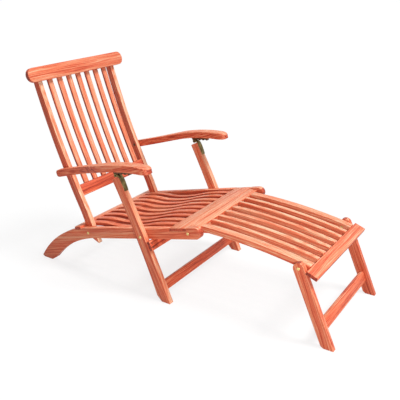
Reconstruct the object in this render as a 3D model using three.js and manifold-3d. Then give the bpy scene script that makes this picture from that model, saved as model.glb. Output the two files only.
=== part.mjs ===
import * as THREE from 'three';
import { mergeVertices } from 'three/addons/utils/BufferGeometryUtils.js';
import Module from 'manifold-3d';

// A folding steamer deck chair: oiled hardwood boards, brass bolts and brass arm catches.
// Lengths are millimetres and angles degrees. Side outlines are drawn with x forward and y up;
// "inner" and "outer" are distances from the chair's middle plane.

const jointGap = 0.3; // hairline between boards that meet
const curveSteps = 8;

// Bolts
const boltRadius = 3;
const boltClearance = 0.3;
const boltHeadRadius = 6.5;
const boltHeadHeight = 3;
const boltNutRadius = 5;
const boltNutHeight = 2.5;
const domeSteps = 4;
const boltSides = 16;
const spacerRadius = 7;

// Seat side rails, each running down into a curved rear leg
const seatSlope = 13.9;
const legPivotHeight = 264;
const legPivotDrop = 5;
const railInner = 243;
const railThickness = 25;
const railHeight = 45.6;
const railNose = 278;
const rearLegTopBend = 324.8;
const rearLegTopRadius = 469;
const rearLegUnderBend = 275.3;
const rearLegUnderRadius = 482.5;
const heelHeight = 7;
const heelClip = 17;
const toeHeight = 16;
const toeClip = 11;
const backPivotLead = 36.9;
const footrestPivotReach = 219.4;

// Seat cross boards and slats
const seatFrontRailReach = 216;
const seatFrontRailWidth = 82.4;
const seatFrontRailThickness = 14;
const seatFrontRailShort = 2;
const seatRearRailReach = 390.4;
const seatRearRailWidth = 37.2;
const seatRearRailThickness = 15;
const seatRearRailSunk = 7.8;
const seatSlatCount = 9;
const seatSlatMargin = 25.6;
const seatSlatWidth = 26;
const seatSlatThickness = 17;
const waveCrown = 9.7;
const waveCrownShare = 0.083;
const waveDip = 12.1;
const waveDipShare = 0.477;
const waveKnee = 1;
const waveKneeShare = 0.871;
const waveEndDrop = 2.9;

// Front legs
const legLean = 25;
const legClearance = 3;
const legThickness = 24;
const legChordSet = 7.2;
const legBow = 7;
const legFootWidth = 47;
const legTopWidth = 35;
const legTopCrown = 2;
const legHeelLength = 12;
const legHeelHeight = 25;
const crossrailThickness = 15.5;
const crossrailHeight = 41;
const crossrailSet = 2.1;
const stretcherThickness = 18;
const stretcherHeight = 40;
const stretcherDrop = 226;

// Brass catch between front leg and arm
const strapWidth = 20;
const strapThickness = 3.5;
const strapReach = 71;
const strapBulge = 8;
const eyeSet = 2.2;
const eyeRadius = 7.5;
const eyeHoleRadius = 3.3;
const eyeLift = 5;
const rackWidth = 18;
const rackHeight = 14;
const rackBite = 3.5;
const notchCount = 4;
const notchPitch = 20;
const notchClearance = 0.3;
const rackMargin = 12;

// Back
const backLean = 22.66;
const stileClearance = 2.5;
const stileThickness = 22;
const stileFront = 12;
const stileBack = 24;
const stileTopBack = 16.5;
const stileTop = 725;
const stileTail = 60;
const stileTailBack = 23;
const backBowStart = 90;
const backBowEnd = 700;
const backBowDepth = 13;
const backBowLean = 3;
const backBowSteps = 14;
const headRailBottom = 671;
const headRailHeight = 60;
const headRailThickness = 18;
const headRailHalfLength = 297;
const bottomRailBottom = 156;
const bottomRailHeight = 50;
const bottomRailThickness = 16;
const bottomRailSetback = 2;
const backSlatCount = 7;
const backSlatMargin = 33.6;
const backSlatWidth = 26;
const backSlatThickness = 11;

// Arms
const armSlope = 16.3;
const armPivotSet = 12;
const armPivotRise = 281.7;
const armThickness = 29;
const armHeelThickness = 32;
const armHeelReach = 41.7;
const armHeelTaper = 66.8;
const armBendReach = 243.1;
const armBendRadius = 820;
const armReach = 495.6;
const armClearance = 2.3;
const armRearWidth = 27.2;
const armFrontInner = 259.5;
const armFrontWidth = 51.9;
const armFlareStart = 49.8;
const armFlareEnd = 320.8;
const armNoseRound = 24;
const armBoltDepth = 18;

// Footrest
const footrestCrestReach = 46;
const footrestCrestRise = 9.7;
const footrestRadius = 2169;
const footrestRailOuter = 216;
const footrestRailWidth = 34;
const footrestRailThickness = 22;
const knuckleClearance = 0.4;
const knuckleTail = 60;
const hingeGap = 2.2;
const footrestRearRailFront = 29;
const footrestRearRailTop = 21.5;
const footrestRearRailThickness = 12;
const footrestRearRailHalfLength = 240;
const footrestSlatCount = 6;
const footrestSlatMargin = 34.5;
const footrestSlatWidth = 20;
const footrestSlatThickness = 25;
const barHalfLength = 246;
const barWidth = 46.6;
const barThickness = 16;
const barDrop = 4.5;
const barSlope = 21;

// Footrest legs
const footrestLegLean = 24.4;
const footrestLegPivotReach = 448.4;
const footrestLegPivotDrop = 4;
const footrestLegWidth = 43;
const footrestLegClearance = 3;
const footrestLegThickness = 21;
const footrestLegHeel = 8;
const footrestStretcherHeight = 42;
const footrestStretcherThickness = 18;
const footrestStretcherDrop = 234;

const wasm = await Module();
wasm.setup();

const radians = THREE.MathUtils.degToRad;
const quarterTurn = Math.PI / 2;

const seatRearRailFront = seatRearRailReach - seatRearRailWidth;
const backPivotReach = seatRearRailFront - backPivotLead;
const railOuter = railInner + railThickness;
const legInner = railOuter + legClearance;
const legOuter = legInner + legThickness;
const stileOuter = railInner - stileClearance;
const stileInner = stileOuter - stileThickness;
const footrestRailInner = footrestRailOuter - footrestRailWidth;
const footrestLegInner = footrestRailOuter + footrestLegClearance;
const footrestLegOuter = footrestLegInner + footrestLegThickness;
const railTop = railHeight / 2;
const holeRadius = boltRadius + boltClearance;

// Frames of the turning parts, in the plane of the side view

function makeFrame(origin, turn) {
  return { origin, turn };
}

function fromFrame(frame, x, y) {
  return new THREE.Vector2(x, y).rotateAround(new THREE.Vector2(), frame.turn).add(frame.origin);
}

function intoFrame(frame, point) {
  return point.clone().sub(frame.origin).rotateAround(new THREE.Vector2(), -frame.turn);
}

const legFrame = makeFrame(new THREE.Vector2(0, legPivotHeight), radians(legLean));
const seatTurn = radians(seatSlope);
const railLift = new THREE.Vector2(0, legPivotDrop).rotateAround(new THREE.Vector2(), seatTurn);
const seatFrame = makeFrame(legFrame.origin.clone().add(railLift), seatTurn);
const backFrame = makeFrame(fromFrame(seatFrame, -backPivotReach, 0), radians(backLean));
const armFrame = makeFrame(fromFrame(backFrame, -armPivotSet, armPivotRise), radians(armSlope));
const footrestFrame = makeFrame(fromFrame(seatFrame, footrestPivotReach, 0), 0);

// Height in a leaning frame at which a given x meets the floor
function floorLevel(frame, x) {
  return -(frame.origin.y + x * Math.sin(frame.turn)) / Math.cos(frame.turn);
}

// Small shape helpers

function outline(points) {
  return new THREE.Shape(points.map(([x, y]) => new THREE.Vector2(x, y)));
}

function rectangle(left, bottom, right, top) {
  return outline([[left, bottom], [right, bottom], [right, top], [left, top]]);
}

function drill(shape, x, y, radius) {
  const hole = new THREE.Path();
  hole.absarc(x, y, radius, 0, 2 * Math.PI, true);
  shape.holes.push(hole);
}

// A board with the given side outline between two planes across the chair
function boardBetween(shape, from, to) {
  const geometry = new THREE.ExtrudeGeometry(shape, {
    depth: to - from,
    bevelEnabled: false,
    curveSegments: curveSteps,
  });
  return geometry.translate(0, 0, from);
}

function sideBoard(shape, inner, outer, side) {
  return side > 0 ? boardBetween(shape, inner, outer) : boardBetween(shape, -outer, -inner);
}

function crossBoard(shape, halfLength) {
  return boardBetween(shape, -halfLength, halfLength);
}

// Middles of evenly spaced slats whose outermost ones lie a margin inside the rails beside them
function slatCentres(count, width, railFace, margin) {
  const pitch = 2 * (railFace - margin - width / 2) / (count - 1);
  return Array.from({ length: count }, (_, index) => (index - (count - 1) / 2) * pitch);
}

function toSolid(geometry) {
  const bare = new THREE.BufferGeometry();
  bare.setAttribute('position', geometry.getAttribute('position'));
  bare.setIndex(geometry.getIndex());
  const welded = mergeVertices(bare);
  return new wasm.Manifold(new wasm.Mesh({
    numProp: 3,
    vertProperties: new Float32Array(welded.getAttribute('position').array),
    triVerts: new Uint32Array(welded.getIndex().array),
  }));
}

function fromSolid(solid) {
  const mesh = solid.getMesh();
  const geometry = new THREE.BufferGeometry();
  geometry.setAttribute('position', new THREE.BufferAttribute(mesh.vertProperties, mesh.numProp));
  geometry.setIndex(new THREE.BufferAttribute(mesh.triVerts, 1));
  const flat = geometry.toNonIndexed();
  flat.computeVertexNormals();
  return flat;
}

// Bolts: a domed head at one plane, a round nut at another, and a spacer collar where one is needed

function domePoints(radius, height, base) {
  return Array.from({ length: domeSteps + 1 }, (_, index) => {
    const angle = quarterTurn * index / domeSteps;
    return new THREE.Vector2(radius * Math.cos(angle), base + height * Math.sin(angle));
  });
}

function turned(points, side) {
  const geometry = new THREE.LatheGeometry(points, boltSides);
  return geometry.rotateX(side * quarterTurn);
}

function boltGeometry(nutFace, headFace, side, collar = []) {
  const points = [
    new THREE.Vector2(0, nutFace - boltNutHeight),
    new THREE.Vector2(boltNutRadius, nutFace - boltNutHeight),
    new THREE.Vector2(boltNutRadius, nutFace),
    new THREE.Vector2(boltRadius, nutFace),
    ...collar,
    new THREE.Vector2(boltRadius, headFace),
    ...domePoints(boltHeadRadius, boltHeadHeight, headFace),
  ];
  return turned(points, side);
}

function collarPoints(inner, outer) {
  return [
    new THREE.Vector2(boltRadius, inner),
    new THREE.Vector2(spacerRadius, inner),
    new THREE.Vector2(spacerRadius, outer),
    new THREE.Vector2(boltRadius, outer),
  ];
}

// A pin with its head on the stile's inner face and a blind end in the arm
function armBoltGeometry(side) {
  const points = [
    ...domePoints(boltHeadRadius, -boltHeadHeight, stileInner).reverse(),
    new THREE.Vector2(boltRadius, stileInner),
    new THREE.Vector2(boltRadius, stileOuter + armClearance + armBoltDepth),
    new THREE.Vector2(0, stileOuter + armClearance + armBoltDepth),
  ];
  return turned(points, side);
}

// Seat side rail: straight with a round nose in front and a bent rear leg behind

function angleAtReach(centre, radius, x) {
  return Math.acos((x - centre.x) / radius);
}

function angleAtHeight(centre, radius, height) {
  const lift = height - fromFrame(seatFrame, centre.x, centre.y).y;
  return Math.PI - Math.asin(lift / radius) - seatFrame.turn;
}

function pointAt(centre, radius, angle) {
  return new THREE.Vector2(centre.x + radius * Math.cos(angle), centre.y + radius * Math.sin(angle));
}

function seatRailShape() {
  const shape = new THREE.Shape();
  const forward = new THREE.Vector2(1, 0).rotateAround(new THREE.Vector2(), -seatFrame.turn);
  const outer = new THREE.Vector2(-rearLegTopBend, railTop - rearLegTopRadius);
  const inner = new THREE.Vector2(-rearLegUnderBend, -railTop - rearLegUnderRadius);
  const outerFloor = pointAt(outer, rearLegTopRadius, angleAtHeight(outer, rearLegTopRadius, 0));
  const innerFloor = pointAt(inner, rearLegUnderRadius, angleAtHeight(inner, rearLegUnderRadius, 0));
  const heel = outerFloor.addScaledVector(forward, heelClip);
  const toe = innerFloor.addScaledVector(forward, -toeClip);
  const frontNotch = railTop - seatFrontRailThickness - jointGap;
  const rearNotch = railTop - seatRearRailSunk - jointGap;
  const rearNotchFront = jointGap - seatRearRailFront;
  const rearNotchBack = -seatRearRailReach - jointGap;

  shape.absarc(railNose - railTop, 0, railTop, -quarterTurn, quarterTurn, false);
  shape.lineTo(seatFrontRailReach + jointGap, railTop);
  shape.lineTo(seatFrontRailReach + jointGap, frontNotch);
  shape.lineTo(seatFrontRailReach - seatFrontRailWidth - jointGap, frontNotch);
  shape.lineTo(seatFrontRailReach - seatFrontRailWidth - jointGap, railTop);
  shape.absarc(outer.x, outer.y, rearLegTopRadius, quarterTurn,
    angleAtReach(outer, rearLegTopRadius, rearNotchFront), false);
  shape.lineTo(rearNotchFront, rearNotch);
  shape.lineTo(rearNotchBack, rearNotch);
  shape.absarc(outer.x, outer.y, rearLegTopRadius, angleAtReach(outer, rearLegTopRadius, rearNotchBack),
    angleAtHeight(outer, rearLegTopRadius, heelHeight), false);
  shape.lineTo(heel.x, heel.y);
  shape.lineTo(toe.x, toe.y);
  shape.absarc(inner.x, inner.y, rearLegUnderRadius, angleAtHeight(inner, rearLegUnderRadius, toeHeight),
    quarterTurn, true);
  shape.closePath();

  drill(shape, 0, -legPivotDrop, holeRadius);
  drill(shape, -backPivotReach, 0, holeRadius);
  drill(shape, footrestPivotReach, 0, holeRadius);
  return shape;
}

function seatFrontRailShape() {
  const back = seatFrontRailReach - seatFrontRailWidth;
  return rectangle(back, railTop - seatFrontRailThickness, seatFrontRailReach, railTop);
}

function seatRearRailShape() {
  const bottom = railTop - seatRearRailSunk;
  return rectangle(-seatRearRailReach, bottom, -seatRearRailFront, bottom + seatRearRailThickness);
}

// Upper edge of a seat slat: a crown behind, a hollow for the hips, a low knee in front
function waveLine() {
  const rear = jointGap - seatRearRailFront;
  const front = seatFrontRailReach - seatFrontRailWidth - jointGap;
  const rearTop = railTop - seatRearRailSunk + seatRearRailThickness;
  const crown = new THREE.Vector2(THREE.MathUtils.lerp(rear, front, waveCrownShare), railTop + waveCrown);
  const dip = new THREE.Vector2(THREE.MathUtils.lerp(rear, front, waveDipShare), railTop - waveDip);
  const knee = new THREE.Vector2(THREE.MathUtils.lerp(rear, front, waveKneeShare), railTop + waveKnee);
  const crownToDip = (crown.x + dip.x) / 2;
  const dipToKnee = (dip.x + knee.x) / 2;
  const line = new THREE.Path();
  line.moveTo(rear, rearTop);
  line.quadraticCurveTo((rear + crown.x) / 2, crown.y, crown.x, crown.y);
  line.bezierCurveTo(crownToDip, crown.y, crownToDip, dip.y, dip.x, dip.y);
  line.bezierCurveTo(dipToKnee, dip.y, dipToKnee, knee.y, knee.x, knee.y);
  line.quadraticCurveTo((knee.x + front) / 2, knee.y, front, railTop - waveEndDrop);
  return line.getPoints(curveSteps);
}

function seatSlatShape() {
  const top = waveLine();
  const under = top.map((point) => new THREE.Vector2(point.x, point.y - seatSlatThickness));
  return new THREE.Shape([...under, ...top.reverse()]);
}

// Front leg: gently bowed forward, cut level at the floor

const eyeCentreHeight = catchHeight();
const legTop = eyeCentreHeight - eyeRadius - eyeLift;

// Distance up the leg at which the catch's eye meets the rack under the arm
function catchHeight() {
  const bend = fromFrame(armFrame, armBendReach, -armBendRadius);
  const start = intoFrame(legFrame, bend);
  const radius = armBendRadius - armThickness / 2 - rackHeight - eyeRadius + rackBite;
  return start.y + Math.sqrt(radius ** 2 - (start.x + eyeSet) ** 2);
}

function legEdge(side, y) {
  const foot = floorLevel(legFrame, -legChordSet);
  const share = (y - foot) / (legTop - foot);
  const halfWidth = THREE.MathUtils.lerp(legFootWidth, legTopWidth, share) / 2;
  return -legChordSet + side * halfWidth + 4 * legBow * share * (1 - share);
}

function legShape() {
  const lean = legFrame.turn;
  const footFront = legFootWidth / 2 - legChordSet;
  const footBack = -legFootWidth / 2 - legChordSet;
  const topFront = legTopWidth / 2 - legChordSet;
  const topBack = -legTopWidth / 2 - legChordSet;
  const frontFloor = floorLevel(legFrame, footFront);
  const backFloor = floorLevel(legFrame, footBack);
  const shape = new THREE.Shape();
  shape.moveTo(footBack + legHeelLength * Math.cos(lean), backFloor - legHeelLength * Math.sin(lean));
  shape.lineTo(footFront, frontFloor);
  shape.quadraticCurveTo((footFront + topFront) / 2 + 2 * legBow, (frontFloor + legTop) / 2, topFront, legTop);
  shape.quadraticCurveTo(-legChordSet, legTop + 2 * legTopCrown, topBack, legTop);
  shape.quadraticCurveTo((footBack + topBack) / 2 + 2 * legBow, (backFloor + legTop) / 2,
    footBack, backFloor + legHeelHeight);
  shape.closePath();
  drill(shape, 0, 0, holeRadius);
  return shape;
}

// The crossrail sits on the legs' front edges and stops them under the seat rails
function crossrailShape() {
  const difference = legFrame.turn - seatFrame.turn;
  const under = railTop - legPivotDrop + jointGap;
  const back = legEdge(1, -under - crossrailHeight / 2) + crossrailSet;
  const front = back + crossrailThickness;
  const top = -(under + front * Math.sin(difference)) / Math.cos(difference);
  return rectangle(back, top - crossrailHeight, front, top);
}

function stretcherShape() {
  const middle = (legEdge(1, -stretcherDrop) + legEdge(-1, -stretcherDrop)) / 2;
  return rectangle(middle - stretcherThickness / 2, -stretcherDrop - stretcherHeight / 2,
    middle + stretcherThickness / 2, -stretcherDrop + stretcherHeight / 2);
}

// Strap up the leg's front edge, curled over the leg's top into an eye
function strapShape() {
  const start = eyeCentreHeight - strapReach;
  const back = legEdge(1, start) + jointGap;
  const front = back + strapThickness;
  const joinAngle = -quarterTurn / 2;
  const join = pointAt(new THREE.Vector2(-eyeSet, eyeCentreHeight), eyeRadius, joinAngle);
  const shape = new THREE.Shape();
  shape.moveTo(back, start);
  shape.lineTo(front, start);
  shape.quadraticCurveTo(front + strapBulge, eyeCentreHeight, eyeRadius - eyeSet, eyeCentreHeight);
  shape.absarc(-eyeSet, eyeCentreHeight, eyeRadius, 0, 2 * Math.PI + joinAngle, false);
  shape.quadraticCurveTo(back + strapBulge / 2, join.y, back, start);
  drill(shape, -eyeSet, eyeCentreHeight, eyeHoleRadius);
  return shape;
}

// Toothed rack that follows the bend of the arm's underside
function rackShape() {
  const eye = intoFrame(armFrame, fromFrame(legFrame, -eyeSet, eyeCentreHeight));
  const bend = new THREE.Vector2(armBendReach, -armBendRadius);
  const eyeArc = eye.distanceTo(bend);
  const topArc = armBendRadius - armThickness / 2 - jointGap;
  const underArc = armBendRadius - armThickness / 2 - rackHeight;
  const notchRadius = eyeRadius + notchClearance;
  const notchHalf = Math.acos((underArc - eyeArc) / notchRadius);
  const firstAngle = Math.atan2(eye.y - bend.y, eye.x - bend.x);
  const lastAngle = firstAngle - (notchCount - 1) * notchPitch / eyeArc;
  const rearAngle = firstAngle + rackMargin / underArc;
  const frontAngle = lastAngle - rackMargin / underArc;
  const rear = pointAt(bend, underArc, rearAngle);
  const front = pointAt(bend, underArc, frontAngle);
  const shape = new THREE.Shape();
  shape.moveTo(rear.x, rear.y);
  for (let index = 0; index < notchCount; index += 1) {
    const angle = firstAngle - index * notchPitch / eyeArc;
    const notch = pointAt(bend, eyeArc, angle);
    shape.absarc(notch.x, notch.y, notchRadius, angle + notchHalf, angle - notchHalf, true);
  }
  shape.lineTo(front.x, front.y);
  shape.absarc(bend.x, bend.y, topArc, frontAngle, rearAngle, false);
  shape.closePath();
  return shape;
}

// Back

// How far the back's edges lie in front of straight ones at a given height: it bows rearwards
function backBow(y) {
  const share = Math.max(0, (y - backBowStart) / (backBowEnd - backBowStart));
  return backBowLean * share - 4 * backBowDepth * share * (1 - share);
}

// Points up an edge of the back between two heights, at a depth that changes evenly on the way
function bowedEdge(from, to, fromDepth, toDepth) {
  return Array.from({ length: backBowSteps + 1 }, (_, index) => {
    const share = index / backBowSteps;
    const y = THREE.MathUtils.lerp(from, to, share);
    return [backBow(y) + THREE.MathUtils.lerp(fromDepth, toDepth, share), y];
  });
}

function stileShape() {
  const fullness = (stileBack - stileTopBack) / stileTop;
  const shape = outline([
    [-stileBack - fullness * stileTailBack, -stileTailBack],
    [stileFront, -stileTail],
    ...bowedEdge(backBowStart, stileTop, stileFront, stileFront),
    ...bowedEdge(backBowStart, stileTop, fullness * backBowStart - stileBack, -stileTopBack).reverse(),
  ]);
  drill(shape, 0, 0, holeRadius);
  drill(shape, -armPivotSet, armPivotRise, holeRadius);
  return shape;
}

// A round-ended board across the fronts of the stiles and slats
function headRailGeometry() {
  const radius = headRailHeight / 2;
  const straight = headRailHalfLength - radius;
  const middle = headRailBottom + radius;
  const slope = (backBow(headRailBottom + headRailHeight) - backBow(headRailBottom)) / headRailHeight;
  const shape = new THREE.Shape();
  shape.absarc(straight, 0, radius, -quarterTurn, quarterTurn, false);
  shape.absarc(-straight, 0, radius, quarterTurn, 3 * quarterTurn, false);
  shape.closePath();
  const geometry = boardBetween(shape, jointGap, jointGap + headRailThickness);
  geometry.rotateY(quarterTurn);
  geometry.rotateZ(-Math.atan(slope));
  return geometry.translate(stileFront + backBow(middle), middle, 0);
}

function bottomRailShape() {
  const front = stileFront - bottomRailSetback;
  const top = bottomRailBottom + bottomRailHeight;
  const low = backBow(bottomRailBottom);
  const high = backBow(top);
  return outline([
    [front + low - bottomRailThickness, bottomRailBottom],
    [front + low, bottomRailBottom],
    [front + high, top],
    [front + high - bottomRailThickness, top],
  ]);
}

function backSlatShape() {
  const bottom = bottomRailBottom + bottomRailHeight + jointGap;
  const rear = stileFront - backSlatThickness;
  return outline([
    ...bowedEdge(bottom, stileTop, stileFront, stileFront),
    ...bowedEdge(bottom, stileTop, rear, rear).reverse(),
  ]);
}

// Arms: a bent side outline cut by a plan that flares towards the front

function armSideShape() {
  const half = armThickness / 2;
  const bend = new THREE.Vector2(armBendReach, -armBendRadius);
  const nose = Math.asin((armReach - armBendReach) / armBendRadius);
  const under = half - armHeelThickness;
  const heelRound = armHeelThickness / 2;
  const heelMiddle = (half + under) / 2;
  const shape = new THREE.Shape();
  shape.moveTo(armHeelTaper, -half);
  shape.absarc(bend.x, bend.y, armBendRadius - half, quarterTurn, quarterTurn - nose, true);
  shape.absarc(bend.x, bend.y, armBendRadius + half, quarterTurn - nose, quarterTurn, false);
  shape.lineTo(heelRound - armHeelReach, half);
  shape.quadraticCurveTo(-armHeelReach, half, -armHeelReach, heelMiddle);
  shape.quadraticCurveTo(-armHeelReach, under, heelRound - armHeelReach, under);
  shape.closePath();
  return shape;
}

function armPlanShape(side) {
  const rearInner = stileOuter + armClearance;
  const rearOuter = rearInner + armRearWidth;
  const frontOuter = armFrontInner + armFrontWidth;
  const easing = (armFlareEnd - armFlareStart) / 2;
  const shape = new THREE.Shape();
  shape.moveTo(-2 * armHeelReach, side * rearInner);
  shape.lineTo(armFlareStart, side * rearInner);
  shape.bezierCurveTo(armFlareStart + easing, side * rearInner, armFlareEnd - easing, side * armFrontInner,
    armFlareEnd, side * armFrontInner);
  shape.lineTo(armReach - armNoseRound, side * armFrontInner);
  shape.quadraticCurveTo(armReach, side * armFrontInner, armReach, side * (armFrontInner + armNoseRound));
  shape.lineTo(armReach, side * (frontOuter - armNoseRound));
  shape.quadraticCurveTo(armReach, side * frontOuter, armReach - armNoseRound, side * frontOuter);
  shape.lineTo(armFlareEnd, side * frontOuter);
  shape.bezierCurveTo(armFlareEnd - easing, side * frontOuter, armFlareStart + easing, side * rearOuter,
    armFlareStart, side * rearOuter);
  shape.lineTo(-2 * armHeelReach, side * rearOuter);
  shape.closePath();
  return shape;
}

function armGeometry(side) {
  const sideSolid = toSolid(sideBoard(armSideShape(), stileOuter, armFrontInner + 2 * armFrontWidth, side));
  const plan = boardBetween(armPlanShape(side), -armReach, armReach).rotateX(quarterTurn);
  const bore = new THREE.CylinderGeometry(holeRadius, holeRadius, 2 * armBoltDepth + boltClearance, boltSides);
  bore.rotateX(quarterTurn);
  bore.translate(0, 0, side * (stileOuter + armClearance + boltClearance));
  return fromSolid(sideSolid.intersect(toSolid(plan)).subtract(toSolid(bore)));
}

// Footrest

const crest = new THREE.Vector2(footrestCrestReach, footrestCrestRise - footrestRadius);
const footrestTopRadius = footrestRadius + footrestRailThickness / 2;
const footrestUnderRadius = footrestRadius - footrestRailThickness / 2;
const footrestLegPivot = new THREE.Vector2(
  footrestLegPivotReach,
  crest.y + Math.sqrt(footrestRadius ** 2 - (footrestLegPivotReach - crest.x) ** 2) - footrestLegPivotDrop,
);
const footrestLegFrame = makeFrame(
  fromFrame(footrestFrame, footrestLegPivot.x, footrestLegPivot.y),
  radians(footrestLegLean),
);
const barUp = new THREE.Vector2(Math.sin(radians(barSlope)), Math.cos(radians(barSlope)));
const barAlong = new THREE.Vector2(barUp.y, -barUp.x);
const barCorner = barRearCorner();

// Where a straight line leaves a circle
function leaveCircle(start, direction, centre, radius) {
  const offset = start.clone().sub(centre);
  const along = offset.dot(direction);
  const travel = Math.sqrt(along ** 2 - offset.lengthSq() + radius ** 2) - along;
  return start.clone().addScaledVector(direction, travel);
}

// Upper rear corner of the bar: its lower rear edge rests on the legs' front edges, which stops the legs
function barRearCorner() {
  const legUp = new THREE.Vector2(0, 1).rotateAround(new THREE.Vector2(), footrestLegFrame.turn);
  const legAlong = new THREE.Vector2(legUp.y, -legUp.x);
  const start = footrestLegPivot.clone()
    .addScaledVector(legAlong, footrestLegWidth / 2 + jointGap)
    .addScaledVector(barUp, barThickness);
  return leaveCircle(start, legUp, crest, footrestTopRadius - barDrop);
}

// Angle about the crest's centre at which a rail or slat ends, on a circle of the given radius
function endAngle(radius) {
  const end = leaveCircle(barCorner.clone().addScaledVector(barAlong, -jointGap), barUp, crest, radius);
  return Math.atan2(end.y - crest.y, end.x - crest.x);
}

function footrestRailShape() {
  const corner = railTop - seatFrontRailThickness;
  const knuckle = Math.hypot(footrestPivotReach - seatFrontRailReach, corner) - knuckleClearance;
  const tongueTop = footrestRearRailTop - footrestRearRailThickness - jointGap;
  const flat = Math.asin(Math.min(1, tongueTop / knuckle));
  const tongueFront = footrestRearRailFront + jointGap;
  const shape = new THREE.Shape();
  shape.absarc(0, 0, knuckle, Math.PI - flat, 3 * quarterTurn, false);
  shape.quadraticCurveTo(knuckleTail / 2, -knuckle, knuckleTail,
    crest.y + Math.sqrt(footrestUnderRadius ** 2 - (knuckleTail - crest.x) ** 2));
  shape.absarc(crest.x, crest.y, footrestUnderRadius,
    angleAtReach(crest, footrestUnderRadius, knuckleTail), endAngle(footrestUnderRadius), true);
  shape.absarc(crest.x, crest.y, footrestTopRadius, endAngle(footrestTopRadius),
    angleAtReach(crest, footrestTopRadius, tongueFront), false);
  shape.lineTo(tongueFront, tongueTop);
  shape.closePath();
  drill(shape, 0, 0, holeRadius);
  drill(shape, footrestLegPivot.x, footrestLegPivot.y, holeRadius);
  return shape;
}

function footrestRearRailShape() {
  const bottom = footrestRearRailTop - footrestRearRailThickness;
  const face = (y) => {
    const offset = seatFrontRailReach - footrestPivotReach + hingeGap;
    return (offset - y * Math.sin(seatFrame.turn)) / Math.cos(seatFrame.turn);
  };
  return outline([
    [face(bottom), bottom],
    [footrestRearRailFront, bottom],
    [footrestRearRailFront, footrestRearRailTop],
    [face(footrestRearRailTop), footrestRearRailTop],
  ]);
}

function footrestSlatShape() {
  const top = footrestTopRadius;
  const under = footrestTopRadius - footrestSlatThickness;
  const rear = footrestRearRailFront + jointGap;
  const shape = new THREE.Shape();
  shape.absarc(crest.x, crest.y, under, angleAtReach(crest, under, rear), endAngle(under), true);
  shape.absarc(crest.x, crest.y, top, endAngle(top), angleAtReach(crest, top, rear), false);
  shape.closePath();
  return shape;
}

function barShape() {
  const frontCorner = barCorner.clone().addScaledVector(barAlong, barWidth);
  return new THREE.Shape([
    barCorner.clone().addScaledVector(barUp, -barThickness),
    frontCorner.clone().addScaledVector(barUp, -barThickness),
    frontCorner,
    barCorner,
  ]);
}

function footrestLegShape() {
  const half = footrestLegWidth / 2;
  const lean = footrestLegFrame.turn;
  const backFloor = floorLevel(footrestLegFrame, -half);
  const shape = new THREE.Shape();
  shape.moveTo(-half + footrestLegHeel * Math.cos(lean), backFloor - footrestLegHeel * Math.sin(lean));
  shape.lineTo(half, floorLevel(footrestLegFrame, half));
  shape.absarc(0, 0, half, 0, Math.PI, false);
  shape.lineTo(-half, backFloor + footrestLegHeel);
  shape.closePath();
  drill(shape, 0, 0, holeRadius);
  return shape;
}

function footrestStretcherShape() {
  return rectangle(-footrestStretcherThickness / 2, -footrestStretcherDrop - footrestStretcherHeight / 2,
    footrestStretcherThickness / 2, -footrestStretcherDrop + footrestStretcherHeight / 2);
}

// Materials and placing

function wood() {
  return new THREE.MeshStandardMaterial({ color: '#d27a4e', roughness: 0.55, metalness: 0 });
}

function brass() {
  return new THREE.MeshStandardMaterial({ color: '#b3934f', roughness: 0.4, metalness: 0.9 });
}

function frameGroup(name, frame) {
  const group = new THREE.Group();
  group.name = name;
  group.position.set(frame.origin.x, frame.origin.y, 0);
  group.rotation.z = frame.turn;
  return group;
}

function addPiece(group, name, geometry, material) {
  const mesh = new THREE.Mesh(geometry, material);
  mesh.name = name;
  group.add(mesh);
  return mesh;
}

function addBolt(group, name, geometry, x, y) {
  addPiece(group, name, geometry, brass()).position.set(x, y, 0);
}

function addSlats(group, name, shape, width, centres) {
  centres.forEach((centre, index) => {
    const geometry = boardBetween(shape, centre - width / 2, centre + width / 2);
    addPiece(group, `${name}_${index + 1}`, geometry, wood());
  });
}

const sides = [['right', 1], ['left', -1]];

function buildSeat() {
  const group = frameGroup('seat', seatFrame);
  const nut = railInner;
  addPiece(group, 'seat_front_rail', crossBoard(seatFrontRailShape(), railOuter - seatFrontRailShort), wood());
  addPiece(group, 'seat_rear_rail', crossBoard(seatRearRailShape(), railOuter), wood());
  addSlats(group, 'seat_slat', seatSlatShape(), seatSlatWidth,
    slatCentres(seatSlatCount, seatSlatWidth, railInner, seatSlatMargin));
  for (const [label, side] of sides) {
    addPiece(group, `seat_rail_${label}`, sideBoard(seatRailShape(), railInner, railOuter, side), wood());
    addBolt(group, `leg_bolt_${label}`, boltGeometry(nut, legOuter, side), 0, -legPivotDrop);
    addBolt(group, `back_bolt_${label}`, boltGeometry(stileInner, railOuter, side), -backPivotReach, 0);
    const collar = collarPoints(footrestRailOuter + jointGap, railInner - jointGap);
    const hinge = boltGeometry(footrestRailInner, railOuter, side, collar);
    addBolt(group, `footrest_bolt_${label}`, hinge, footrestPivotReach, 0);
  }
  return group;
}

function buildFrontLegs() {
  const group = frameGroup('front_legs', legFrame);
  const middle = (legInner + legOuter) / 2;
  addPiece(group, 'leg_crossrail', crossBoard(crossrailShape(), legOuter), wood());
  addPiece(group, 'leg_stretcher', crossBoard(stretcherShape(), legInner - jointGap), wood());
  for (const [label, side] of sides) {
    const strap = sideBoard(strapShape(), middle - strapWidth / 2, middle + strapWidth / 2, side);
    addPiece(group, `front_leg_${label}`, sideBoard(legShape(), legInner, legOuter, side), wood());
    addPiece(group, `catch_strap_${label}`, strap, brass());
  }
  return group;
}

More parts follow.
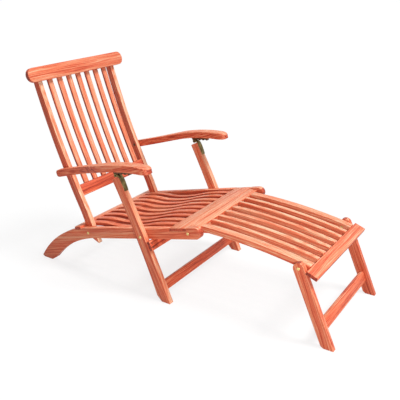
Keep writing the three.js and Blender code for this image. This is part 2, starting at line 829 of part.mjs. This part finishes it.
function buildBack() {
  const group = frameGroup('back', backFrame);
  addPiece(group, 'head_rail', headRailGeometry(), wood());
  addPiece(group, 'back_bottom_rail', crossBoard(bottomRailShape(), stileInner - jointGap), wood());
  addSlats(group, 'back_slat', backSlatShape(), backSlatWidth,
    slatCentres(backSlatCount, backSlatWidth, stileInner, backSlatMargin));
  for (const [label, side] of sides) {
    addPiece(group, `back_stile_${label}`, sideBoard(stileShape(), stileInner, stileOuter, side), wood());
    addBolt(group, `arm_bolt_${label}`, armBoltGeometry(side), -armPivotSet, armPivotRise);
  }
  return group;
}

function buildArms() {
  const group = frameGroup('arms', armFrame);
  const middle = (legInner + legOuter) / 2;
  for (const [label, side] of sides) {
    const rack = sideBoard(rackShape(), middle - rackWidth / 2, middle + rackWidth / 2, side);
    addPiece(group, `arm_${label}`, armGeometry(side), wood());
    addPiece(group, `catch_rack_${label}`, rack, brass());
  }
  return group;
}

function buildFootrest() {
  const group = frameGroup('footrest', footrestFrame);
  addPiece(group, 'footrest_rear_rail', crossBoard(footrestRearRailShape(), footrestRearRailHalfLength), wood());
  addPiece(group, 'footrest_front_bar', crossBoard(barShape(), barHalfLength), wood());
  addSlats(group, 'footrest_slat', footrestSlatShape(), footrestSlatWidth,
    slatCentres(footrestSlatCount, footrestSlatWidth, footrestRailInner, footrestSlatMargin));
  for (const [label, side] of sides) {
    const rail = sideBoard(footrestRailShape(), footrestRailInner, footrestRailOuter, side);
    const bolt = boltGeometry(footrestRailInner, footrestLegOuter, side);
    addPiece(group, `footrest_rail_${label}`, rail, wood());
    addBolt(group, `footrest_leg_bolt_${label}`, bolt, footrestLegPivot.x, footrestLegPivot.y);
  }
  return group;
}

function buildFootrestLegs() {
  const group = frameGroup('footrest_legs', footrestLegFrame);
  const stretcher = crossBoard(footrestStretcherShape(), footrestLegInner - jointGap);
  addPiece(group, 'footrest_stretcher', stretcher, wood());
  for (const [label, side] of sides) {
    const leg = sideBoard(footrestLegShape(), footrestLegInner, footrestLegOuter, side);
    addPiece(group, `footrest_leg_${label}`, leg, wood());
  }
  return group;
}

// Turn the side view so that the sitter faces -Y with +Z up, and centre the chair over the floor
function standUp(sideView) {
  const toForward = new THREE.Vector3(0, -1, 0);
  const toUp = new THREE.Vector3(0, 0, 1);
  const toAcross = new THREE.Vector3(-1, 0, 0);
  sideView.quaternion.setFromRotationMatrix(new THREE.Matrix4().makeBasis(toForward, toUp, toAcross));
  sideView.updateMatrixWorld(true);
  const box = new THREE.Box3().setFromObject(sideView, true);
  const middle = box.getCenter(new THREE.Vector3());
  sideView.position.set(-middle.x, -middle.y, -box.min.z);
}

const chair = new THREE.Group();
chair.name = 'steamer_deck_chair';
const sideView = new THREE.Group();
sideView.name = 'side_view';
sideView.add(buildSeat(), buildFrontLegs(), buildBack(), buildArms(), buildFootrest(), buildFootrestLegs());
standUp(sideView);
chair.add(sideView);

export default chair;
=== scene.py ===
import math
import random

import bmesh
import bpy
import numpy as np
from mathutils import Matrix, Vector


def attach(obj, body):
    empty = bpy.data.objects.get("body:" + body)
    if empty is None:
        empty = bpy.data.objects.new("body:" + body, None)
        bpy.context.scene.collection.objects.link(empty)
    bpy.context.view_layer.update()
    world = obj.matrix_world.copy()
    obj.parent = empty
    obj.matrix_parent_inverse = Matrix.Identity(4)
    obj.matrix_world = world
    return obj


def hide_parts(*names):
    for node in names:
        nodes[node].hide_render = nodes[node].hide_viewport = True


# A steamer deck chair in oiled hardwood with brass fittings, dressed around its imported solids.
# Lengths are metres, named angles are degrees, and colours are linear.

MM = 0.001

# Camera, fitted to the photograph
CAMERA_PLACE = (-2.0135, -1.2882, 1.3139)
CAMERA_AZIMUTH = -57.21
CAMERA_DROP = 22.02
CAMERA_ROLL = 0.04
CAMERA_LENS = 54.76
CAMERA_SENSOR = 36.0
LEVEL_TILT = 90

# Lamps and world
KEY_STRENGTH = 2.8
KEY_PLACE = (0.6, -2.0, 4.2)
KEY_ANGLE = 22.0
FILL_POWER = 22.0
FILL_PLACE = (-1.7, -1.5, 1.0)
FILL_SIZE = 0.6
LAMP_AIM = (0.0, 0.0, 0.35)
WORLD_LIGHT = 0.27
WORLD_SEEN_LIGHT = 1.0
WHITE = 1.0

# Floor: its shade for the light that it sends back, and its shade and glow for the camera
FLOOR_SIZE = 60.0
FLOOR_SHADE = 0.5
FLOOR_SEEN_SHADE = 0.2
FLOOR_GLOW = 0.8

# Colours of the wood from its darkest streaks to its palest, and where each lies between them
WOOD_COLOURS = (
    (0.18, 0.017, 0.008), (0.58, 0.078, 0.031), (0.78, 0.168, 0.074), (0.86, 0.335, 0.182),
    (0.90, 0.59, 0.39),
)
WOOD_STOP_SHARES = (0.0, 0.3, 0.52, 0.74, 1.0)

# How much paler than a plain side each kind of face is, or darker below zero
WORN_SHIFT = 0.13
END_SHIFT = -0.26
# Painted light: faces turned up, or to the front on the back and front legs, are made paler as if the key
# lights them
LIT_FACE_SHIFT = 0.21
# Painted shade: the sides and backs of the back slats and stiles are darkened where the slats shade each
# other
SHADED_SIDE_SHIFT = -0.22

# How much paler or darker than the rest each kind of board is, and how far single boards stray from that
TONE_SHIFTS = {
    "head_rail": -0.19, "back_bottom_rail": -0.32, "back_stile": 0.02, "back_stile_right": 0.14,
    "back_slat": -0.08, "arm": -0.08, "front_leg": -0.01, "leg_crossrail": -0.20, "leg_stretcher": -0.13,
    "seat_rail": -0.07, "seat_slat": -0.16, "seat_front_rail": 0.0, "seat_rear_rail": -0.05,
    "footrest_rail": 0.06, "footrest_slat": 0.03, "footrest_rear_rail": -0.08, "footrest_front_bar": -0.23,
    "footrest_leg": -0.04, "footrest_stretcher": -0.12,
}
TONE_SPREAD = 0.04

# Boards whose fronts, not their tops, get painted light, and boards whose sides get painted shade
LIT_FRONT_BOARDS = ("head_rail", "back_", "front_leg")
SHADED_SIDE_BOARDS = ("back_slat", "back_stile")

# A noise is its stretch on each axis, its detail and its roughness, and end grain crowds it along the board
SLOW_NOISE = ((2.8, 24.0, 24.0), 2.0, 0.5)
BROAD_NOISE = ((1.2, 60.0, 60.0), 2.0, 0.5)
STREAK_NOISE = ((4.5, 230.0, 230.0), 3.0, 0.6)
FIBRE_NOISE = ((22.0, 900.0, 900.0), 3.0, 0.6)
PORE_NOISE = ((60.0, 1700.0, 1700.0), 1.0, 0.5)
END_CROWDING = 40.0

# How far apart in the grain boards can be cut
GRAIN_REACH = 9

# Rings of the wood, and how far they wander across a board
RING_STRETCH = (0.7, 30.0, 16.0)
RING_INPUTS = {"Scale": 2.2, "Distortion": 1.6, "Detail": 2.5, "Detail Scale": 0.8}
RING_SETTINGS = {"wave_type": "BANDS", "bands_direction": "Y", "wave_profile": "SIN"}
RING_WANDER = 6 * MM

# The part of a noise's range over which a change takes place
FULL_SPAN = (0.0, 1.0)
WANDER_SPAN = (0.3, 0.7)
TONE_SPAN = (0.25, 0.75)
GLOSS_SPAN = (0.3, 0.75)
PORE_SPAN = (0.62, 0.74)

# How much the rings, noises and pores change the wood's tone
RING_TONES = (0.43, 0.61)
BROAD_SWING = 0.19
STREAK_SWING = 0.28
FIBRE_SWING = 0.14
PORE_DARKNESS = (0.0, 0.55)

# Surface of the wood
WOOD_ROUGHNESS = (0.58, 0.40)
PORE_HEIGHT = -1.2
WOOD_BUMP = 0.4
WOOD_BUMP_DEPTH = 0.4 * MM
WOOD_INPUTS = {"Specular IOR Level": 0.3, "Coat Weight": 0.05, "Coat Roughness": 0.38}

# Metals
BRASS_BRIGHT = (0.84, 0.62, 0.26)
BRASS_DULL = (0.30, 0.23, 0.085)
BRASS_AGED = (0.22, 0.165, 0.06)
# Painted shade: dark brown brass that makes the racks under the arms read as shade, also used on the arm
# bolts
BRASS_SHADE_BROWN = (0.12, 0.05, 0.025)
BRASS_DARK = (0.055, 0.04, 0.02)
SCREW_STEEL = (0.16, 0.11, 0.08)
BRASS_SURFACE = {
    "clouds": ((60.0, 60.0, 60.0), 3.0, 0.5), "tarnish_span": (0.4, 0.75), "tarnish": (0.0, 0.8),
    "roughness": (0.28, 0.5), "metallic": 0.9,
}
SCREW_SURFACE = {
    "clouds": ((500.0, 500.0, 500.0), 3.0, 0.5), "tarnish_span": (0.35, 0.7), "tarnish": (0.0, 1.0),
    "roughness": (0.35, 0.6), "metallic": 0.8,
}
METAL_GLOSS_SPAN = (0.3, 0.8)
SCRATCH_NOISE = ((300.0, 900.0, 300.0), 2.0, 0.5)
SCRATCH_BUMP = 0.15
SCRATCH_DEPTH = 0.2 * MM

# Rounded arrises, and the facets and double vertices that are joined before them
ARRIS = 1.8 * MM
BRASS_ARRIS = 0.3 * MM
ARRIS_SEGMENTS = 2
ARRIS_ANGLE = 30
FLAT_ANGLE = 0.6
WELD = 0.02 * MM

# Digits to which the corners of a cross-section are told apart
PROFILE_DIGITS = 6

# How squarely a face looks along a board to be end grain, or to the front or up to get painted light
END_FACING = 0.8
LIT_FACING = 0.8
FRONT = (0, -1, 0)
UP = (0, 0, 1)

# Material slots of a board, and a bevel's number for the slot of the faces beside it
SIDE_SLOT, WORN_SLOT, END_SLOT, LIT_FACE_SLOT, SHADED_SIDE_SLOT = range(5)
SAME_SLOT = -1

# Arms, and the lengths over which their noses narrow to these shares of the full height and width
ARM_VOXEL = 2 * MM
ARM_EASING = 5
ARM_SEEDS = {"right": 81, "left": 82}
NOSE_LENGTH = 44 * MM
NOSE_SHARE = 0.3
NOSE_PLAN_LENGTH = 40 * MM
NOSE_PLAN_SHARE = 0.35

# Height of the nose's tip on the arm's end
NOSE_TIP_SHARE = 0.42

# The footrest's rear rail
LIP_WIDTH = 12 * MM
LIP_CLEARANCE = 0.5 * MM
SLAT_END_LENGTH = 1 * MM
RAIL_SEED = 71

# The crossrail's screws, with their places along its height
SCREW_RADIUS = 3.6 * MM
SCREW_PROUD = 0.4 * MM
SCREW_DEPTH = 1.6 * MM
SCREW_SIDES = 20
SCREW_FOOT_SHARE = 0.45
SCREW_RIM_SHARE = 0.85
SCREW_RECESS_SHARE = 0.42
SCREW_PAIR_SHARES = (-0.22, 0.22)
SCREW_ENDS = ((1, "right"), (-1, "left"))

# Places of the colour sockets on a Mix node, where several sockets share a name
MIX_FACTOR, MIX_FIRST, MIX_SECOND, MIX_RESULT = 0, 6, 7, 2

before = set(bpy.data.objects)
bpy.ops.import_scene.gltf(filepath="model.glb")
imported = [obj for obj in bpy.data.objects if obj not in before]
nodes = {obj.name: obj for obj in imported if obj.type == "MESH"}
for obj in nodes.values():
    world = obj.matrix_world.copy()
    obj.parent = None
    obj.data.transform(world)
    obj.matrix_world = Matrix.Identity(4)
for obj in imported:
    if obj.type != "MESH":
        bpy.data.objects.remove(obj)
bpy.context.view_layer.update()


# Node-tree helpers

class Tree:
    """Builds the node tree of a material or of the world with short calls."""

    def __init__(self, owner):
        owner.use_nodes = True
        self.owner = owner
        self.nodes = owner.node_tree.nodes
        self.links = owner.node_tree.links
        self.shader = self.nodes.get("Principled BSDF")

    def node(self, kind, inputs=None, **settings):
        made = self.nodes.new(kind)
        for key, value in settings.items():
            setattr(made, key, value)
        for key, value in (inputs or {}).items():
            self.feed(made, key, value)
        return made

    def feed(self, target, key, value):
        if isinstance(value, bpy.types.NodeSocket):
            self.links.new(value, target.inputs[key])
        else:
            target.inputs[key].default_value = value

    def stretch(self, vector, scale):
        made = self.node("ShaderNodeMapping", {"Vector": vector, "Scale": scale})
        return made.outputs["Vector"]

    def noise(self, vector, recipe, crowding=1.0):
        """A noise by its recipe, which crowding makes finer on the first axis."""
        (first, second, third), detail, roughness = recipe
        made = self.node("ShaderNodeTexNoise", {
            "Vector": self.stretch(vector, (first * crowding, second, third)),
            "Scale": 1.0, "Detail": detail, "Roughness": roughness,
        })
        return made.outputs["Fac"]

    def ramp(self, value, span, results=(0.0, 1.0)):
        made = self.node("ShaderNodeMapRange", {
            "Value": value, "From Min": span[0], "From Max": span[1],
            "To Min": results[0], "To Max": results[1],
        })
        return made.outputs["Result"]

    def swing(self, value, span, size):
        """Spreads a noise evenly to both sides of zero."""
        return self.ramp(value, span, (-size, size))

    def mix(self, share, first, second):
        made = self.node("ShaderNodeMix", {
            MIX_FACTOR: share, MIX_FIRST: first, MIX_SECOND: second,
        }, data_type="RGBA")
        return made.outputs[MIX_RESULT]

    def colours(self, value, places, stops):
        made = self.node("ShaderNodeValToRGB", {"Fac": value})
        elements = made.color_ramp.elements
        while len(elements) < len(stops):
            elements.new(1.0)
        for element, place, stop in zip(elements, places, stops):
            element.position = place
            element.color = rgba(stop)
        return made.outputs["Color"]

    def maths(self, operation, first, second):
        made = self.node("ShaderNodeMath", {0: first, 1: second}, operation=operation)
        return made.outputs["Value"]

    def bump(self, height, strength, distance):
        made = self.node("ShaderNodeBump", {
            "Height": height, "Strength": strength, "Distance": distance,
        })
        return made.outputs["Normal"]


def material_tree(name):
    return Tree(bpy.data.materials.new(name))


def rgba(colour):
    return (*colour, 1.0)


def grey(level):
    return rgba((level, level, level))


# Wood

def wandering_grain(tree, grain, crowding):
    """Grain coordinates that wander slowly across the board."""
    slow = tree.noise(grain, SLOW_NOISE, crowding)
    across = tree.node("ShaderNodeCombineXYZ", {"Y": tree.swing(slow, WANDER_SPAN, RING_WANDER)})
    bent = tree.node("ShaderNodeVectorMath", {0: grain, 1: across.outputs["Vector"]}, operation="ADD")
    return bent.outputs["Vector"]


def wood_material(name, shift=0.0, end=False):
    """Oiled hardwood: rings, streaks, fibres and pores along each board, with slow changes of tone."""
    tree = material_tree(name)
    crowding = END_CROWDING if end else 1.0
    grain = tree.node("ShaderNodeAttribute", attribute_name="grain").outputs["Vector"]
    tone = tree.node("ShaderNodeAttribute", attribute_name="tone").outputs["Fac"]
    bent = wandering_grain(tree, grain, crowding)
    rings = tree.node("ShaderNodeTexWave", {
        "Vector": tree.stretch(bent, RING_STRETCH), **RING_INPUTS,
    }, **RING_SETTINGS).outputs["Fac"]
    broad = tree.noise(bent, BROAD_NOISE, crowding)
    streak = tree.noise(bent, STREAK_NOISE, crowding)
    fibre = tree.noise(grain, FIBRE_NOISE, crowding)
    pores = tree.noise(grain, PORE_NOISE, crowding)
    level = tree.ramp(rings, FULL_SPAN, [ring_tone + shift for ring_tone in RING_TONES])
    level = tree.maths("ADD", level, tree.swing(broad, TONE_SPAN, BROAD_SWING))
    level = tree.maths("ADD", level, tree.swing(streak, TONE_SPAN, STREAK_SWING))
    level = tree.maths("ADD", level, tree.swing(fibre, TONE_SPAN, FIBRE_SWING))
    level = tree.maths("ADD", level, tone)
    colour = tree.colours(level, WOOD_STOP_SHARES, WOOD_COLOURS)
    colour = tree.mix(tree.ramp(pores, PORE_SPAN, PORE_DARKNESS), colour, rgba(WOOD_COLOURS[0]))
    height = tree.maths("ADD", fibre, tree.maths("MULTIPLY", tree.ramp(pores, PORE_SPAN), PORE_HEIGHT))
    tree.feed(tree.shader, "Base Color", colour)
    tree.feed(tree.shader, "Roughness", tree.ramp(streak, GLOSS_SPAN, WOOD_ROUGHNESS))
    tree.feed(tree.shader, "Normal", tree.bump(height, WOOD_BUMP, WOOD_BUMP_DEPTH))
    for key, value in WOOD_INPUTS.items():
        tree.feed(tree.shader, key, value)
    return tree.owner


def make_woods():
    """The woods in the order of a board's slots."""
    return (
        wood_material("oiled_wood"),
        wood_material("worn_wood", shift=WORN_SHIFT),
        wood_material("end_wood", shift=END_SHIFT, end=True),
        # Painted light on the faces turned to the lamps
        wood_material("lit_face_wood", shift=LIT_FACE_SHIFT),
        # Painted shade on the sides and backs of the back slats and stiles
        wood_material("shaded_side_wood", shift=SHADED_SIDE_SHIFT),
    )


# Metals

def clouded_metal(name, shine, dull, surface):
    """A metal with clouds of tarnish, and the place on the piece that its noises follow."""
    tree = material_tree(name)
    place = tree.node("ShaderNodeTexCoord").outputs["Object"]
    cloud = tree.noise(place, surface["clouds"])
    tarnish = tree.ramp(cloud, surface["tarnish_span"], surface["tarnish"])
    tree.feed(tree.shader, "Base Color", tree.mix(tarnish, rgba(shine), rgba(dull)))
    tree.feed(tree.shader, "Roughness", tree.ramp(cloud, METAL_GLOSS_SPAN, surface["roughness"]))
    tree.feed(tree.shader, "Metallic", surface["metallic"])
    return tree, place


def brass_material(name, shine, dull):
    """Brass with fine scratches."""
    tree, place = clouded_metal(name, shine, dull, BRASS_SURFACE)
    scratches = tree.noise(place, SCRATCH_NOISE)
    tree.feed(tree.shader, "Normal", tree.bump(scratches, SCRATCH_BUMP, SCRATCH_DEPTH))
    return tree.owner


def make_brasses():
    return (
        brass_material("bright_brass", BRASS_BRIGHT, BRASS_DULL),
        brass_material("aged_brass", BRASS_AGED, BRASS_DARK),
        brass_material("shade_brown_brass", BRASS_SHADE_BROWN, BRASS_DARK),
    )


def screw_material():
    """Browned steel of the screw heads."""
    return clouded_metal("screw_steel", SCREW_STEEL, BRASS_DARK, SCREW_SURFACE)[0].owner


# Meshes

def mesh_points(mesh):
    points = np.zeros(len(mesh.vertices) * 3)
    mesh.vertices.foreach_get("co", points)
    return points.reshape(-1, 3)


def node_points(name):
    return mesh_points(nodes[name].data)


def cross_section(points):
    """Corners of a board that runs from side to side, seen from its end."""
    return np.unique(points[:, 1:].round(PROFILE_DIGITS), axis=0)


def add_mesh(name, shape, material):
    """Makes an object of a bmesh, with its faces pointing out."""
    bmesh.ops.recalc_face_normals(shape, faces=shape.faces)
    mesh = bpy.data.meshes.new(name)
    shape.to_mesh(mesh)
    shape.free()
    mesh.materials.append(material)
    obj = bpy.data.objects.new(name, mesh)
    bpy.context.scene.collection.objects.link(obj)
    return obj


def join_rings(shape, below, above):
    """Closes the band between two rings of vertices."""
    for index in range(len(below)):
        after = (index + 1) % len(below)
        shape.faces.new((below[index], below[after], above[after], above[index]))


def freeze_modifiers(obj):
    """Turns the object's modifiers into its mesh."""
    graph = bpy.context.evaluated_depsgraph_get()
    graph.update()
    made = bpy.data.meshes.new_from_object(obj.evaluated_get(graph))
    obj.modifiers.clear()
    obj.data = made


def shade_smooth(obj):
    for polygon in obj.data.polygons:
        polygon.use_smooth = True


def set_materials(obj, materials):
    obj.data.materials.clear()
    for material in materials:
        obj.data.materials.append(material)


# CAD nodes: grain coordinates, arrises and materials

def long_frame(points):
    """Centre and main directions of a board, the longest first."""
    centre = (points.min(0) + points.max(0)) / 2
    sizes, directions = np.linalg.eigh(np.cov((points - points.mean(0)).T))
    return centre, directions[:, np.argsort(sizes)[::-1]]


def board_tone(name, draw):
    kind = max((kind for kind in TONE_SHIFTS if name.startswith(kind)), key=len)
    return TONE_SHIFTS[kind] + draw.uniform(-TONE_SPREAD, TONE_SPREAD)


def mark_faces(mesh, name, length):
    """Gives end grain, faces with painted light and sides with painted shade their slots."""
    lit_direction = Vector(FRONT if name.startswith(LIT_FRONT_BOARDS) else UP)
    for polygon in mesh.polygons:
        if abs(polygon.normal.dot(length)) > END_FACING:
            polygon.material_index = END_SLOT
        # Painted light: faces turned to the lamps get the paler wood
        elif polygon.normal.dot(lit_direction) > LIT_FACING:
            polygon.material_index = LIT_FACE_SLOT
        # Painted shade on the other faces of the back slats and stiles
        elif name.startswith(SHADED_SIDE_BOARDS):
            polygon.material_index = SHADED_SIDE_SLOT


def add_grain(obj, name, seed):
    """Stores the board's tone and where on the board each vertex lies, and marks its faces."""
    mesh = obj.data
    points = mesh_points(mesh)
    centre, axes = long_frame(points)
    draw = random.Random(seed)
    offset = np.array([draw.uniform(0, GRAIN_REACH) for _ in range(3)])
    local = (points - centre) @ axes + offset
    grain = mesh.attributes.new("grain", "FLOAT_VECTOR", "POINT")
    grain.data.foreach_set("vector", local.astype(np.float32).ravel())
    tone = mesh.attributes.new("tone", "FLOAT", "POINT")
    tone.data.foreach_set("value", np.full(len(points), board_tone(name, draw), np.float32))
    mark_faces(mesh, name, Vector(axes[:, 0]))


def join_flat_faces(obj):
    weld = obj.modifiers.new("weld", "WELD")
    weld.merge_threshold = WELD
    flat = obj.modifiers.new("flat", "DECIMATE")
    flat.decimate_type = "DISSOLVE"
    flat.angle_limit = math.radians(FLAT_ANGLE)


def add_arris(obj, width, slot):
    bevel = obj.modifiers.new("arris", "BEVEL")
    bevel.width = width
    bevel.segments = ARRIS_SEGMENTS
    bevel.limit_method = "ANGLE"
    bevel.angle_limit = math.radians(ARRIS_ANGLE)
    bevel.use_clamp_overlap = True
    bevel.material = slot


def dress_board(obj, name, seed, woods):
    set_materials(obj, woods)
    add_grain(obj, name, seed)
    join_flat_faces(obj)
    add_arris(obj, ARRIS, WORN_SLOT)
    shade_smooth(obj)


def is_brass(name):
    return "bolt" in name or name.startswith("catch_")


def brass_of(name, brasses):
    """Bright bolts, olive straps, and racks and arm bolts in a dark brown, which on the racks is painted
    shade under the arms.
    """
    bright, aged, brown = brasses
    if name.startswith("catch_strap"):
        return aged
    return brown if name.startswith(("catch_rack", "arm_")) else bright


def dress_brass(obj, brass):
    set_materials(obj, [brass])
    join_flat_faces(obj)
    add_arris(obj, BRASS_ARRIS, SAME_SLOT)
    shade_smooth(obj)


def dress_nodes(woods, brasses):
    for seed, name in enumerate(sorted(nodes)):
        if is_brass(name):
            dress_brass(nodes[name], brass_of(name, brasses))
        else:
            dress_board(nodes[name], name, seed, woods)


# The arms

def rounding(inward, length, least):
    """Share of the full size this far in from the front end, along a quarter of an ellipse."""
    away = max(0.0, 1 - inward / length)
    return least + (1 - least) * math.sqrt(1 - away ** 2)


def shape_nose(mesh):
    """Rounds the front end of an arm to a nose, in plan and from the side."""
    front = min(vertex.co.y for vertex in mesh.vertices)
    end = [vertex for vertex in mesh.vertices if vertex.co.y < front + NOSE_LENGTH]
    low, high = (pick(vertex.co.z for vertex in end) for pick in (min, max))
    left, right = (pick(vertex.co.x for vertex in end) for pick in (min, max))
    level = low + (high - low) * NOSE_TIP_SHARE
    middle = (left + right) / 2
    for vertex in end:
        inward = vertex.co.y - front
        vertex.co.z = level + (vertex.co.z - level) * rounding(inward, NOSE_LENGTH, NOSE_SHARE)
        vertex.co.x = middle + (vertex.co.x - middle) * rounding(inward, NOSE_PLAN_LENGTH, NOSE_PLAN_SHARE)


def add_eased_arm(side, woods):
    """An arm with hand-eased edges and a front end that rounds down to a nose."""
    name = f"arm_{side}"
    shape = bmesh.new()
    shape.from_mesh(nodes[name].data)
    bmesh.ops.remove_doubles(shape, verts=shape.verts, dist=WELD)
    obj = add_mesh(f"{name}_eased", shape, woods[SIDE_SLOT])
    remesh = obj.modifiers.new("remesh", "REMESH")
    remesh.mode = "VOXEL"
    remesh.voxel_size = ARM_VOXEL
    freeze_modifiers(obj)
    shape_nose(obj.data)
    easing = obj.modifiers.new("easing", "SMOOTH")
    easing.iterations = ARM_EASING
    freeze_modifiers(obj)
    set_materials(obj, woods)
    add_grain(obj, name, ARM_SEEDS[side])
    shade_smooth(obj)
    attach(obj, name)
    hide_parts(name)


# The footrest's rear rail

def in_order(corners):
    """The corners sorted round their middle."""
    reach = corners - corners.mean(0)
    return corners[np.argsort(np.arctan2(reach[:, 1], reach[:, 0]))]


def slat_underside():
    """Height of the footrest slats' undersides at their rear ends."""
    slat = node_points("footrest_slat_1")
    rear = slat[slat[:, 1] > slat[:, 1].max() - SLAT_END_LENGTH]
    return rear[:, 2].min()


def add_prism(shape, outline, left, right):
    """Adds a closed solid that has this outline from one side to the other."""
    first = [shape.verts.new((left, y, z)) for y, z in outline]
    last = [shape.verts.new((right, y, z)) for y, z in outline]
    shape.faces.new(first)
    shape.faces.new(last[::-1])
    join_rings(shape, last, first)


def add_rebated_rail(woods):
    """The rear rail with the deep front edge that the slats butt against, between the side rails."""
    board = node_points("footrest_rear_rail")
    profile = in_order(cross_section(board))
    front = profile[:, 0].min()
    bottom = profile[:, 1].min()
    deep = slat_underside()
    inside = node_points("footrest_rail_right")[:, 0].min() - LIP_CLEARANCE
    lip = [(front, deep), (front + LIP_WIDTH, deep), (front + LIP_WIDTH, bottom), (front, bottom)]
    shape = bmesh.new()
    add_prism(shape, profile, board[:, 0].min(), board[:, 0].max())
    add_prism(shape, lip, -inside, inside)
    obj = add_mesh("footrest_rear_rail_rebated", shape, woods[SIDE_SLOT])
    dress_board(obj, "footrest_rear_rail", RAIL_SEED, woods)
    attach(obj, "footrest")
    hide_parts("footrest_rear_rail")


# Small fasteners

def screw_ring(shape, radius, height):
    angles = [2 * math.pi * index / SCREW_SIDES for index in range(SCREW_SIDES)]
    return [shape.verts.new((radius * math.cos(angle), radius * math.sin(angle), height)) for angle in angles]


def screw_head(name, place, normal, turn, material, body):
    """A countersunk screw: a rim round a recess, its foot hidden in the board."""
    shape = bmesh.new()
    rings = [
        screw_ring(shape, SCREW_RADIUS * SCREW_FOOT_SHARE, -SCREW_DEPTH),
        screw_ring(shape, SCREW_RADIUS, 0.0),
        screw_ring(shape, SCREW_RADIUS * SCREW_RIM_SHARE, SCREW_PROUD),
        screw_ring(shape, SCREW_RADIUS * SCREW_RECESS_SHARE, SCREW_PROUD),
        screw_ring(shape, SCREW_RADIUS * SCREW_RECESS_SHARE / 2, -SCREW_DEPTH / 2),
    ]
    shape.faces.new(rings[0][::-1])
    shape.faces.new(rings[-1])
    for below, above in zip(rings, rings[1:]):
        join_rings(shape, below, above)
    obj = add_mesh(name, shape, material)
    spin = Vector(normal).to_track_quat("Z", "Y").to_matrix().to_4x4() @ Matrix.Rotation(turn, 4, "Z")
    obj.matrix_world = Matrix.Translation(place) @ spin
    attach(obj, body)


def add_crossrail_screws(material):
    """Two screws through each end of the crossrail into the front legs behind it."""
    leg = node_points("front_leg_right")
    leg_middle = (leg[:, 0].min() + leg[:, 0].max()) / 2
    profile = cross_section(node_points("leg_crossrail"))
    centre = profile.mean(0)
    edge = profile[profile[:, 1].argmax()] - profile[profile[:, 0].argmin()]
    height = np.linalg.norm(edge)
    up = edge / height
    normal = np.array([-up[1], up[0]])
    depth = ((profile - centre) @ normal).max()
    for side, label in SCREW_ENDS:
        for index, share in enumerate(SCREW_PAIR_SHARES):
            face = centre + normal * depth + up * height * share
            name = f"crossrail_screw_{label}_{index + 1}"
            place = (side * leg_middle, face[0], face[1])
            screw_head(name, place, (0, normal[0], normal[1]), index + side, material, "front_leg_frame")


# Stage, light and camera

def seen_share(tree):
    """One for rays from the camera, from reflections and through glass, otherwise zero."""
    path = tree.node("ShaderNodeLightPath").outputs
    direct = tree.maths("MAXIMUM", path["Is Camera Ray"], path["Is Glossy Ray"])
    return tree.maths("MAXIMUM", direct, path["Is Transmission Ray"])


def floor_material():
    """Diffuse floor that keeps the chair's shadow and is otherwise white to the camera."""
    tree = material_tree("floor")
    tree.nodes.remove(tree.shader)
    dull = tree.node("ShaderNodeBsdfDiffuse", {"Color": grey(FLOOR_SHADE)}).outputs["BSDF"]
    pale = tree.node("ShaderNodeBsdfDiffuse", {"Color": grey(FLOOR_SEEN_SHADE)}).outputs["BSDF"]
    glow = tree.node("ShaderNodeEmission", {"Strength": FLOOR_GLOW}).outputs["Emission"]
    seen = tree.node("ShaderNodeAddShader", {0: pale, 1: glow}).outputs["Shader"]
    floor = tree.node("ShaderNodeMixShader", {0: seen_share(tree), 1: dull, 2: seen}).outputs["Shader"]
    tree.feed(tree.nodes["Material Output"], "Surface", floor)
    return tree.owner


def make_floor():
    mesh = bpy.data.meshes.new("floor")
    half = FLOOR_SIZE / 2
    corners = [(-half, -half, 0), (half, -half, 0), (half, half, 0), (-half, half, 0)]
    mesh.from_pydata(corners, [], [(0, 1, 2, 3)])
    floor = bpy.data.objects.new("floor", mesh)
    floor.data.materials.append(floor_material())
    bpy.context.scene.collection.objects.link(floor)


def make_world():
    """Even light all round, and white where the camera sees the world itself."""
    world = bpy.data.worlds.new("studio")
    bpy.context.scene.world = world
    tree = Tree(world)
    background = tree.nodes["Background"]
    tree.feed(background, "Color", grey(WHITE))
    strength = tree.ramp(seen_share(tree), FULL_SPAN, (WORLD_LIGHT, WORLD_SEEN_LIGHT))
    tree.feed(background, "Strength", strength)


def place_lamp(data, place):
    lamp = bpy.data.objects.new(data.name, data)
    lamp.location = place
    lamp.rotation_euler = (Vector(LAMP_AIM) - Vector(place)).to_track_quat("-Z", "Y").to_euler()
    bpy.context.scene.collection.objects.link(lamp)


def make_key():
    """A wide sun, so that the floor stays even round the chair's shadow."""
    data = bpy.data.lights.new("key", "SUN")
    data.energy = KEY_STRENGTH
    data.angle = math.radians(KEY_ANGLE)
    place_lamp(data, KEY_PLACE)


def make_fill():
    data = bpy.data.lights.new("fill", "AREA")
    data.energy = FILL_POWER
    data.shape = "DISK"
    data.size = FILL_SIZE
    place_lamp(data, FILL_PLACE)


def make_camera():
    data = bpy.data.cameras.new("camera")
    data.sensor_width = CAMERA_SENSOR
    data.lens = CAMERA_LENS
    camera = bpy.data.objects.new("camera", data)
    turn = Matrix.Rotation(math.radians(CAMERA_AZIMUTH), 4, "Z")
    tilt = Matrix.Rotation(math.radians(LEVEL_TILT - CAMERA_DROP), 4, "X")
    roll = Matrix.Rotation(math.radians(CAMERA_ROLL), 4, "Z")
    camera.matrix_world = Matrix.Translation(CAMERA_PLACE) @ turn @ tilt @ roll
    bpy.context.scene.collection.objects.link(camera)
    bpy.context.scene.camera = camera


board_woods = make_woods()
dress_nodes(board_woods, make_brasses())
for arm_side in ARM_SEEDS:
    add_eased_arm(arm_side, board_woods)
add_rebated_rail(board_woods)
add_crossrail_screws(screw_material())
make_floor()
make_world()
make_key()
make_fill()
make_camera()
bpy.context.scene.view_settings.view_transform = "Standard"
